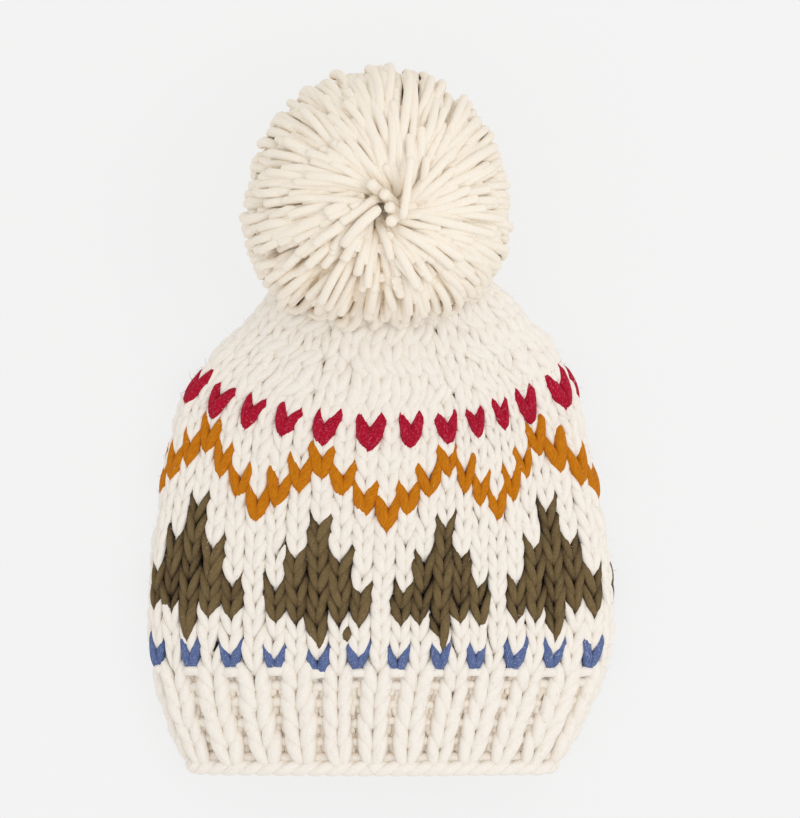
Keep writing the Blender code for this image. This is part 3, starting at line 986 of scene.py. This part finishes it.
# Crown. Eleven rounds in cream that narrow from 48 stitches to 12 in six wedges, by knitting two
# stitches together at a wedge's edge, until the last stitches are gathered up under the pompom.
CROWN_COUNTS = {16: 48, 17: 42, 18: 42, 19: 36, 20: 36, 21: 30, 22: 30, 23: 24, 24: 24, 25: 18, 26: 12}
WEDGES = 6
HALF_STITCH = 0.5
CROWN_THICKNESS = 1.12
CROWN_FIBRES = 1300
CROWN_SEED = 31
crown_chance = np.random.default_rng(CROWN_SEED)


def wedge_places(count):
    """The columns of a round's stitches, wedge by wedge, from the left edge of the front middle wedge."""
    left_edge = HALF_STITCH - STITCHES_AROUND / WEDGES / 2
    return left_edge + (np.arange(count) + HALF_STITCH) * STITCHES_AROUND / count


def joined_at_right(wedge, round_number):
    """Whether two stitches are knitted together at the right end of this wedge, or at its left end."""
    if wedge in (0, 3):
        return round_number % 4 == 1
    return wedge in (2, 5)


crown_strands = []
count_below = STITCHES_AROUND
for round_number, count in CROWN_COUNTS.items():
    places, places_below = wedge_places(count), wedge_places(count_below)
    here, below = count // WEDGES, count_below // WEDGES
    left_foot, right_foot = [], []
    for wedge in range(WEDGES):
        taken = [(i, i) for i in range(below)]
        while len(taken) > here:
            if joined_at_right(wedge, round_number):
                taken[-2:] = [(taken[-2][0], taken[-1][1])]
            else:
                taken[:2] = [(taken[0][0], taken[1][1])]
        left_foot += [places_below[wedge * below + pair[0]] for pair in taken]
        right_foot += [places_below[wedge * below + pair[1]] for pair in taken]
    path = knitted_round({
        "corners": [whole_loop(np.array(KNIT_LOOP) * (1, 1, 1, CROWN_THICKNESS))] * count,
        "left_foot": np.array(left_foot),
        "right_foot": np.array(right_foot),
        "top": places,
        "pitch_below": STITCHES_AROUND / count_below,
        "pitch_above": STITCHES_AROUND / count,
        "bottom": round_number - 1.0,
        "height": 1.0,
        "unevenness": 1.0,
        "shared_strand": True,
    }, crown_chance)
    crown_strands.append(piece_of_round(path, 0, count))
    count_below = count
finished(yarn_object("crown_knit", crown_strands), CREAM_WOOL, "crown", "crown")
crown_fibres = stray_fibres(crown_strands, CROWN_FIBRES, CREAM_FIBRE_LENGTHS, crown_chance)
finished(yarn_object("crown_stray_fibres", crown_fibres, FIBRE_SIDES, FIBRE_ROUNDNESS), CREAM_FLUFF, "crown")

# Tie. The tail of the pompom's waist cord goes through the drawn-in hole and is knotted flat inside
# the crown: three tight turns of the same yarn that hold the pompom on.
TIE_TURNS = 3
TIE_STEPS = 24
TIE_WANDER = 0.6 * MM
# How deep the knot's turns count as tucked, which sets their painted crease shade.
TIE_SHADING_DEPTH = 1.4
tie_low, tie_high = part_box("pompom_tie")
tie_middle = np.array((tie_low + tie_high) / 2)
tie_half = np.array((tie_high - tie_low) / 2)
tie_strands = []
for turn_number in range(TIE_TURNS):
    angle = np.arange(TIE_STEPS) / TIE_STEPS * 2 * math.pi
    share = (turn_number + 0.5) / TIE_TURNS * 2 - 1
    wander = TIE_WANDER * np.sin(angle + turn_number)
    ring_points = np.stack([
        tie_middle[0] + np.cos(angle) * (tie_half[0] - YARN_RADIUS),
        tie_middle[1] + share * (tie_half[1] - YARN_RADIUS) + wander,
        tie_middle[2] + np.sin(angle) * (tie_half[2] - YARN_RADIUS),
    ], 1)
    tie_strands.append({
        "points": ring_points,
        "facing": unit(ring_points - tie_middle),
        "radius": np.full(TIE_STEPS, YARN_RADIUS),
        "deep": np.full(TIE_STEPS, TIE_SHADING_DEPTH),
        "closed": True,
    })
finished(yarn_object("pompom_tie_knot", tie_strands), CREAM_WOOL, "pompom_tie", "pompom_tie")

# Pompom. A thousand cut ends of the cream yarn, bound at the waist and trimmed to a loose ball that
# flops back over the crown. The ends part at a whorl near the top and lie outwards from it like petals.
POMPOM_WIDTH = 120 * MM
POMPOM_LENGTH = 119 * MM
POMPOM_HEIGHT = 110 * MM
POMPOM_FLOP = 9 * MM
POMPOM_SETTLE = 3 * MM
WAIST_SQUARENESS = 2.25
FREE_SQUARENESS = 2.1
CROWN_SQUARENESS = 2.7
POMPOM_MIDDLE = np.array([
    -2.7 * MM,
    float(CAD_BOX[1].y) - POMPOM_LENGTH / 2 - POMPOM_FLOP,
    POMPOM_HEIGHT / 2 - POMPOM_SETTLE,
])
WHORL = np.array([4.1 * MM, 92.6 * MM, 107 * MM])
STRANDS = 1040
STRAND_RADIUS = 2.08 * MM
STRAND_STEPS = 14
STRAND_SIDES = 8
STRAND_ROUNDNESS = 1.0
TIP_SCATTER = 0.035
WHORL_PARTING = 0.30
WHORL_SPREAD = 0.50
WHORL_SWIRL = 0.13
POMPOM_SEED = 53
pompom_chance = np.random.default_rng(POMPOM_SEED)


def pompom_reach(ways):
    """How far the trimmed ball reaches from its middle, each way."""
    x, y, z = np.abs(ways).T
    waist = (x / (POMPOM_WIDTH / 2)) ** WAIST_SQUARENESS + (z / (POMPOM_HEIGHT / 2)) ** WAIST_SQUARENESS
    waist = waist ** (1 / WAIST_SQUARENESS)
    free = ways[:, 1] > 0
    length = y / np.where(free, POMPOM_LENGTH / 2 + POMPOM_FLOP, POMPOM_LENGTH / 2 - POMPOM_FLOP)
    square = np.where(free, FREE_SQUARENESS, CROWN_SQUARENESS)
    return (waist**square + length**square) ** (-1 / square)


def even_ways(count):
    """Directions spread evenly over a ball."""
    i = np.arange(count) + 0.5
    height = 1 - 2 * i / count
    angle = i * math.pi * (3 - math.sqrt(5))
    flat = np.sqrt(1 - height**2)
    return np.stack([flat * np.cos(angle), flat * np.sin(angle), height], 1)


whorl_way = unit(WHORL - POMPOM_MIDDLE)
tips = unit(even_ways(STRANDS) + pompom_chance.normal(0, TIP_SCATTER, (STRANDS, 3)))
off_whorl = np.arccos(np.clip(tips @ whorl_way, -1, 1))
parted = off_whorl + WHORL_PARTING * np.exp(-((off_whorl / WHORL_SPREAD) ** 2))
toward = unit(whorl_way - tips * (tips @ whorl_way)[:, None])
moved = parted - off_whorl
tips, toward = (
    tips * np.cos(moved)[:, None] - toward * np.sin(moved)[:, None],
    toward * np.cos(moved)[:, None] + tips * np.sin(moved)[:, None],
)

# Each strand starts nearer the whorl than it ends, by this share of the way and this much at most. The
# ends stand up straighter on the far left, where the ball rolls away from the whorl.
BEND_SHARE = 0.88
MOST_BEND = math.radians(62)
BEND_VARIETY = (0.60, 1.10)
STRAIGHTER_LEFT = 0.5
LEFT_START = 0.6
LEFT_BLEND = 0.3
leftness = np.clip((-tips[:, 0] - LEFT_START) / LEFT_BLEND, 0, 1)
bend = np.minimum(BEND_SHARE * parted, MOST_BEND) * pompom_chance.uniform(*BEND_VARIETY, STRANDS)
bend *= 1 - STRAIGHTER_LEFT * leftness
side_way = unit(np.cross(tips, whorl_way))
roots = tips * np.cos(bend)[:, None] + toward * np.sin(bend)[:, None]
roots = unit(roots + side_way * (WHORL_SWIRL * np.exp(-(parted**2)))[:, None])

# The trim, as shares of the ball's reach. It is even round the rim, and less so on the front and the
# back. The ends that hang over the crown are cut shorter and unevenly, most of all on the left.
RIM_TRIM = 0.985
FRONT_TRIM = 0.02
RIM_SPREAD = 0.008
FRONT_SPREAD = 0.030
TIP_INSET = 0.3
OVERHANG_TRIM = (0.05, 0.36)
OVERHANG_START = 0.25
OVERHANG_BLEND = 0.5
OVERHANG_BOTTOM = -0.5
OVERHANG_LEFT = 0.5
OVERHANG_LEFT_RANGE = (-0.6, 1.0)
front = np.abs(tips[:, 2])
overhang = np.clip((-tips[:, 1] - OVERHANG_START) / OVERHANG_BLEND, 0, 1)
overhang *= np.clip(tips[:, 2] - OVERHANG_BOTTOM, 0, 1)
overhang *= 1 + OVERHANG_LEFT * np.clip(-2 * tips[:, 0], *OVERHANG_LEFT_RANGE)
trimmed = pompom_chance.normal(RIM_TRIM - FRONT_TRIM * front, RIM_SPREAD + FRONT_SPREAD * front)
trimmed -= overhang * pompom_chance.uniform(*OVERHANG_TRIM, STRANDS)
reach = pompom_reach(tips) * np.minimum(trimmed, 1.0) - STRAND_RADIUS * TIP_INSET

# Where along a strand its points are, closest at its cut end. It leaves the waist towards its root and
# swings round to its tip late. The fuller it is, the sooner it comes out to the ball's surface.
ROOT_SHARE = 0.08
END_SHARES = (0.965, 0.99, 1.0)
SWING_POWER = 2.6
FULLNESS = (1.7, 3.5)
FULLNESS_LOST = 0.5
FAR_FROM_WHORL = 1.4
share = np.concatenate([np.linspace(ROOT_SHARE, END_SHARES[0], STRAND_STEPS - 2), END_SHARES[1:]])
swing = share**SWING_POWER
fullness = pompom_chance.uniform(*FULLNESS, STRANDS)
fullness -= FULLNESS_LOST * np.clip(parted / FAR_FROM_WHORL, 0, 1)
lengthwise = 1 - (1 - share[None]) ** fullness[:, None]
ways = unit(roots[:, None] * (1 - swing)[None, :, None] + tips[:, None] * swing[None, :, None])
strand_points = POMPOM_MIDDLE + ways * (reach[:, None] * lengthwise)[..., None]

# The yarn kept a slack wave from the ball that it was wound off, in three lengths of wave. It is
# strongest some way before the cut end, and none at the waist.
WAVES = (3.4 * MM, 1.6 * MM, 0.8 * MM)
WAVE_FADE = 1.3
along_strand = share[None, :, None]
phase = pompom_chance.uniform(0, 2 * math.pi, (STRANDS, 1, 3))
for order, height in enumerate(WAVES):
    wave = pompom_chance.normal(0, height, (STRANDS, 1, 3))
    bow = np.sin((order + 1) * math.pi * along_strand + phase)
    strand_points += wave * bow * along_strand * (WAVE_FADE - along_strand)

# The shears leave nothing outside the ball. They left it a little flat towards the upper left.
TRIM_SHARE = 0.995
TRIM_UNEVENNESS = 0.10
FLAT_WAY = (-0.74, 0.67, 0.0)
FLAT_TRIM = 0.055
FLAT_START = 0.65
FLAT_BLEND = 0.30


def outwardness(points):
    """How far out in the pompom points are, where 1 is the trimmed ball."""
    from_middle = points - POMPOM_MIDDLE
    reaches = pompom_reach(unit(from_middle).reshape(-1, 3)).reshape(points.shape[:-1])
    return np.linalg.norm(from_middle, axis=-1) / reaches


allowed = TRIM_SHARE - pompom_chance.uniform(0.0, TRIM_UNEVENNESS, STRANDS)
allowed -= FLAT_TRIM * np.clip((tips @ np.array(FLAT_WAY) - FLAT_START) / FLAT_BLEND, 0, 1)
shortened = allowed / np.maximum(outwardness(strand_points).max(axis=1), allowed)
strand_points = POMPOM_MIDDLE + (strand_points - POMPOM_MIDDLE) * shortened[:, None, None]

# The strands lie on the crown and never in it. One that would have to be pushed out far is left out.
NEAR_SPOKE_STEP = 4
near_rows = CLOTH_ROWS >= BODY_ROUNDS
near_crown = CLOTH_POINTS[near_rows][:, ::NEAR_SPOKE_STEP].reshape(-1, 3)
near_facing = CLOTH_FACING[near_rows][:, ::NEAR_SPOKE_STEP].reshape(-1, 3)
CROWN_CLEAR = STRAND_RADIUS + 0.4 * MM
CROWN_NEAR = 30 * MM
MOST_PUSHED = 2 * MM
POINTS_AT_ONCE = 2000


def off_the_crown(points):
    """The points, pushed out of the crown where they are in it, and how far each was pushed."""
    points = points.copy()
    pushed = np.zeros(len(points))
    for start in range(0, len(points), POINTS_AT_ONCE):
        some = points[start : start + POINTS_AT_ONCE]
        gaps = np.linalg.norm(some[:, None] - near_crown[None], axis=2)
        nearest = gaps.argmin(axis=1)
        above = ((some - near_crown[nearest]) * near_facing[nearest]).sum(axis=1)
        lift = np.where(gaps.min(axis=1) < CROWN_NEAR, np.maximum(CROWN_CLEAR - above, 0), 0)
        some += near_facing[nearest] * lift[:, None]
        pushed[start : start + POINTS_AT_ONCE] = lift
    return points, pushed


lifted, pushed = off_the_crown(strand_points.reshape(-1, 3))
strand_points = lifted.reshape(STRANDS, STRAND_STEPS, 3)
kept = pushed.reshape(STRANDS, STRAND_STEPS)[:, -1] < MOST_PUSHED
strand_points[..., 2] = np.maximum(strand_points[..., 2], STRAND_RADIUS)

# Four ends look straight up out of the whorl. Two long ones have sprung loose: one lies across the
# whorl and one runs from it down to the left. Each place is counted from the whorl in mm.
WHORL_ENDS = (
    ((-8.2, 9.0, 2.2), (1.0, 1.0, -14.0)),
    ((-2.6, 4.8, 1.2), (5.0, -2.0, -14.0)),
    ((-0.4, -0.8, 1.4), (6.0, -6.0, -13.0)),
    ((0.2, -7.4, 1.8), (6.0, -1.0, -12.0)),
)
LOOSE_ENDS = (
    ((5.6, -5.8, 1.0), (7.4, 6.0, 3.0), (9.0, 20.0, 2.0), 0.86),
    ((-4.6, -1.6, -0.8), (-12.5, -8.5, 0.6), (-20.0, -17.0, -4.6), 1.15),
)
WHORL_END_THICKNESS = 1.2
WHORL_END_BOW = np.array((0.20, 0.20, 0.32))


def bowed(start, pull, end):
    """Points of a strand from start to end that bows towards pull, all three counted from the whorl."""
    steps = np.linspace(0, 1, STRAND_STEPS)[:, None]
    return WHORL + start * (1 - steps) ** 2 + 2 * pull * steps * (1 - steps) + end * steps**2


placed = []
for end, root in WHORL_ENDS:
    end, root = np.array(end) * MM, np.array(root) * MM
    placed.append((bowed(root, end + (root - end) * WHORL_END_BOW, end), WHORL_END_THICKNESS))
for *places, thickness in LOOSE_ENDS:
    start, middle, end = (np.array(place) * MM for place in places)
    placed.append((bowed(start, 2 * middle - (start + end) / 2, end), thickness))

# A strand is thin where it is bound, and a little narrower again at its cut end. The further in a part
# of it lies, the deeper it counts as tucked, and the more painted warm glow it gets in the gaps between
# strands.
BOUND_THICKNESS = 0.7
CUT_THICKNESSES = (1.02, 0.90)
STRAND_VARIETY = (0.90, 1.12)
CUT_ROUNDING = 0.06
WORN_ROUNDING = 0.3
OPEN_SHADING_DEPTH = 0.8
SHADING_DEPTH_INWARDS = 7.0
SHADING_DEPTH_START = 0.965
thick = np.ones(STRAND_STEPS)
thick[0] = BOUND_THICKNESS
thick[-2:] = CUT_THICKNESSES
lower_strands, upper_strands = [], []
for i in np.flatnonzero(kept):
    half = upper_strands if strand_points[i, -1, 2] > POMPOM_MIDDLE[2] else lower_strands
    half.append({
        "points": strand_points[i],
        "facing": np.tile(side_way[i], (STRAND_STEPS, 1)),
        "radius": STRAND_RADIUS * thick * pompom_chance.uniform(*STRAND_VARIETY),
        "deep": OPEN_SHADING_DEPTH + SHADING_DEPTH_INWARDS * np.clip(SHADING_DEPTH_START - outwardness(strand_points[i]), 0, 1),
        "open_way": unit(strand_points[i] - POMPOM_MIDDLE),
        "closed": False,
        "rounding": CUT_ROUNDING,
        "cut": True,
    })

# Shorter ends stand straight up between the long ones and fill the ball, but not under its overhang.
FILLERS = 420
FILLER_STEPS = 6
FILLER_SHARE = 0.87
FILLER_UNEVENNESS = 0.03
FILLER_SCATTER = 0.05
FILLER_ROOT = 0.45
FILLER_THICKNESS = 1.1
# How deep a filler counts as tucked, root to tip, for the painted warm glow in the gaps.
FILLER_SHADING_DEPTHS = (3.0, 0.9)
UNDERSIDE_BEHIND = -0.35
UNDERSIDE_TOP = 0.75
filler_ways = unit(even_ways(FILLERS) + pompom_chance.normal(0, FILLER_SCATTER, (FILLERS, 3)))
filler_ends = pompom_reach(filler_ways) * pompom_chance.normal(FILLER_SHARE, FILLER_UNEVENNESS, FILLERS)
filler_share = np.linspace(FILLER_ROOT, 1.0, FILLER_STEPS)
for way, end in zip(filler_ways, filler_ends):
    points = POMPOM_MIDDLE + way * (end * filler_share)[:, None]
    under_overhang = way[1] < UNDERSIDE_BEHIND and way[2] < UNDERSIDE_TOP
    if points[-1, 2] < STRAND_RADIUS or under_overhang:
        continue
    half = upper_strands if way[2] > 0 else lower_strands
    half.append({
        "points": points,
        "facing": np.tile(unit(np.cross(way, ODD_WAY)), (FILLER_STEPS, 1)),
        "radius": np.full(FILLER_STEPS, STRAND_RADIUS * FILLER_THICKNESS),
        "deep": np.linspace(*FILLER_SHADING_DEPTHS, FILLER_STEPS),
        "open_way": np.tile(way, (FILLER_STEPS, 1)),
        "closed": False,
        "rounding": CUT_ROUNDING,
        "cut": True,
    })
# The sprung ends count as tucked one radius deep, for the painted shading.
for points, thickness in placed:
    upper_strands.append({
        "points": points,
        "facing": np.tile((1.0, 0.0, 0.0), (STRAND_STEPS, 1)),
        "radius": STRAND_RADIUS * thickness * thick,
        "deep": np.ones(STRAND_STEPS),
        "open_way": unit(points - POMPOM_MIDDLE),
        "closed": False,
        "rounding": WORN_ROUNDING,
    })
POMPOM_WOOL = wool(
    "pompom wool",
    colour=from_screen(240, 234, 224),
    # Painted light: the gaps deep between the strands are lit by this warmer peach cream as a painted glow,
    # which also colours the streaks.
    tucked=from_screen(252, 230, 196),
    crease_shading_range=(0.5, 2.8),
    stray=from_screen(252, 247, 238),
    stray_amount=0.5,
    streak_depth=0.45,
    bump=0.5,
    sheen=0.12,
)

# Inside, the wool is packed so tightly that it is one firm ball.
CORE_SHARE = 0.78
CORE_AROUND = 96
CORE_UP = 48
CORE_LUMP = 1.2 * MM
CORE_FIBRE_SPREAD = 10 * MM
# The core counts as this deep everywhere, for its painted warm glow.
CORE_SHADING_DEPTH = 1.3
around, up = np.meshgrid(
    np.arange(CORE_AROUND) / CORE_AROUND * 2 * math.pi,
    (np.arange(CORE_UP) + 0.5) / CORE_UP * math.pi,
)
core_ways = np.stack([np.cos(around) * np.sin(up), np.sin(around) * np.sin(up), np.cos(up)], 2)
core_ways = core_ways.reshape(-1, 3)
core_reach = pompom_reach(core_ways) * CORE_SHARE + pompom_chance.normal(0, CORE_LUMP, len(core_ways))
core_points = off_the_crown(POMPOM_MIDDLE + core_ways * core_reach[:, None])[0]
core_points[:, 2] = np.maximum(core_points[:, 2], 2 * STRAND_RADIUS)
here = np.arange(CORE_UP - 1)[:, None] * CORE_AROUND + np.arange(CORE_AROUND)
beside = np.roll(here, -1, axis=1)
core_faces = np.stack([here, here + CORE_AROUND, beside + CORE_AROUND, beside], 2).reshape(-1, 4).tolist()
core_faces.append(list(range(CORE_AROUND)))
core_faces.append(list(range(len(core_ways) - CORE_AROUND, len(core_ways)))[::-1])
core_mesh = bpy.data.meshes.new("pompom_packed_core")
core_mesh.from_pydata(core_points.tolist(), [], core_faces)
core_mesh.shade_smooth()
core_fibre = core_mesh.attributes.new("fibre", "FLOAT_VECTOR", "POINT")
core_fibres = core_ways * (CORE_FIBRE_SPREAD / STRAND_RADIUS)
core_fibre.data.foreach_set("vector", core_fibres.astype(np.float32).ravel())
core_tuck = core_mesh.attributes.new("tuck", "FLOAT", "POINT")
core_tuck.data.foreach_set("value", np.full(len(core_ways), CORE_SHADING_DEPTH, np.float32))
core = bpy.data.objects.new("pompom_packed_core", core_mesh)
bpy.context.scene.collection.objects.link(core)
finished(core, POMPOM_WOOL, "pompom")
lower_half = yarn_object("pompom_lower_strands", lower_strands, STRAND_SIDES, STRAND_ROUNDNESS)
finished(lower_half, POMPOM_WOOL, "pompom", "pompom")
upper_half = yarn_object("pompom_upper_strands", upper_strands, STRAND_SIDES, STRAND_ROUNDNESS)
finished(upper_half, POMPOM_WOOL, "pompom")
POMPOM_FIBRES = 900
pompom_fibres = stray_fibres(upper_strands, POMPOM_FIBRES, CREAM_FIBRE_LENGTHS, pompom_chance)
pompom_fluff = yarn_object("pompom_stray_fibres", pompom_fibres, FIBRE_SIDES, FIBRE_ROUNDNESS)
finished(pompom_fluff, fluff(POMPOM_WOOL), "pompom")

# Table top. A plain pale sheet with a faint glow of its own, so that the hat casts hardly a shadow,
# as on a light table.
TABLE_HALF = 3.0
PAPER_GREY = (0.12, 0.12, 0.12, 1)
PAPER_GLOW = 0.770
table_mesh = bpy.data.meshes.new("table")
corners = [(-TABLE_HALF, -TABLE_HALF, 0), (TABLE_HALF, -TABLE_HALF, 0)]
corners += [(TABLE_HALF, TABLE_HALF, 0), (-TABLE_HALF, TABLE_HALF, 0)]
table_mesh.from_pydata(corners, [], [(0, 1, 2, 3)])
table = bpy.data.objects.new("table", table_mesh)
bpy.context.scene.collection.objects.link(table)
paper = bpy.data.materials.new("pale paper")
paper.use_nodes = True
paper_shader = paper.node_tree.nodes["Principled BSDF"]
paper_shader.inputs["Base Color"].default_value = PAPER_GREY
paper_shader.inputs["Roughness"].default_value = 1.0
paper_shader.inputs["Specular IOR Level"].default_value = 0.0
paper_shader.inputs["Emission Color"].default_value = (1.0, 1.0, 1.0, 1)
paper_shader.inputs["Emission Strength"].default_value = PAPER_GLOW
table_mesh.materials.append(paper)

# Light. A white room, with one big soft lamp high on the right, so that each stitch is a little darker on
# its left, and a weaker one on the left.
ROOM_COLOUR = (1.0, 0.995, 0.985, 1)
ROOM_BRIGHTNESS = 0.91
FRONT_HEIGHT = 40 * MM
world = bpy.data.worlds.new("white room")
world.use_nodes = True
world.node_tree.nodes["Background"].inputs["Color"].default_value = ROOM_COLOUR
world.node_tree.nodes["Background"].inputs["Strength"].default_value = ROOM_BRIGHTNESS
bpy.context.scene.world = world


def soft_lamp(name, place, size, power):
    """A square soft lamp that looks at the middle of the hat."""
    light = bpy.data.lights.new(name, "AREA")
    light.size = size
    light.energy = power
    lamp = bpy.data.objects.new(name, light)
    lamp.location = place
    back = np.array(place) - np.array((0.0, 0.0, FRONT_HEIGHT))
    turn = math.atan2(back[0], -back[1])
    tilt = math.atan2(math.hypot(back[0], back[1]), back[2])
    lamp.rotation_euler = (tilt, 0.0, turn)
    bpy.context.scene.collection.objects.link(lamp)


soft_lamp("key lamp", place=(0.80, 0.10, 1.35), size=0.8, power=4.5)
soft_lamp("fill lamp", place=(-0.9, -0.5, 1.4), size=1.0, power=0.8)

# Camera. It looks straight down on the lying hat, from far enough to keep the pompom in scale. Its
# lens takes in the photograph's height at the level of the hat's front.
IMAGE_HEIGHT_PX = 818
MM_PER_PX = 0.443
CAMERA_DISTANCE = 2.2
CAMERA_SIGHT = 20.0
FRAME_MIDDLE = (8.4 * MM, 4.9 * MM)
camera_data = bpy.data.cameras.new("camera")
frame_height = IMAGE_HEIGHT_PX * MM_PER_PX * MM
camera_data.lens = camera_data.sensor_width * CAMERA_DISTANCE / frame_height
camera_data.clip_end = CAMERA_SIGHT
camera = bpy.data.objects.new("camera", camera_data)
camera.location = (*FRAME_MIDDLE, FRONT_HEIGHT + CAMERA_DISTANCE)
bpy.context.scene.collection.objects.link(camera)
bpy.context.scene.camera = camera
bpy.context.scene.view_settings.view_transform = "Standard"
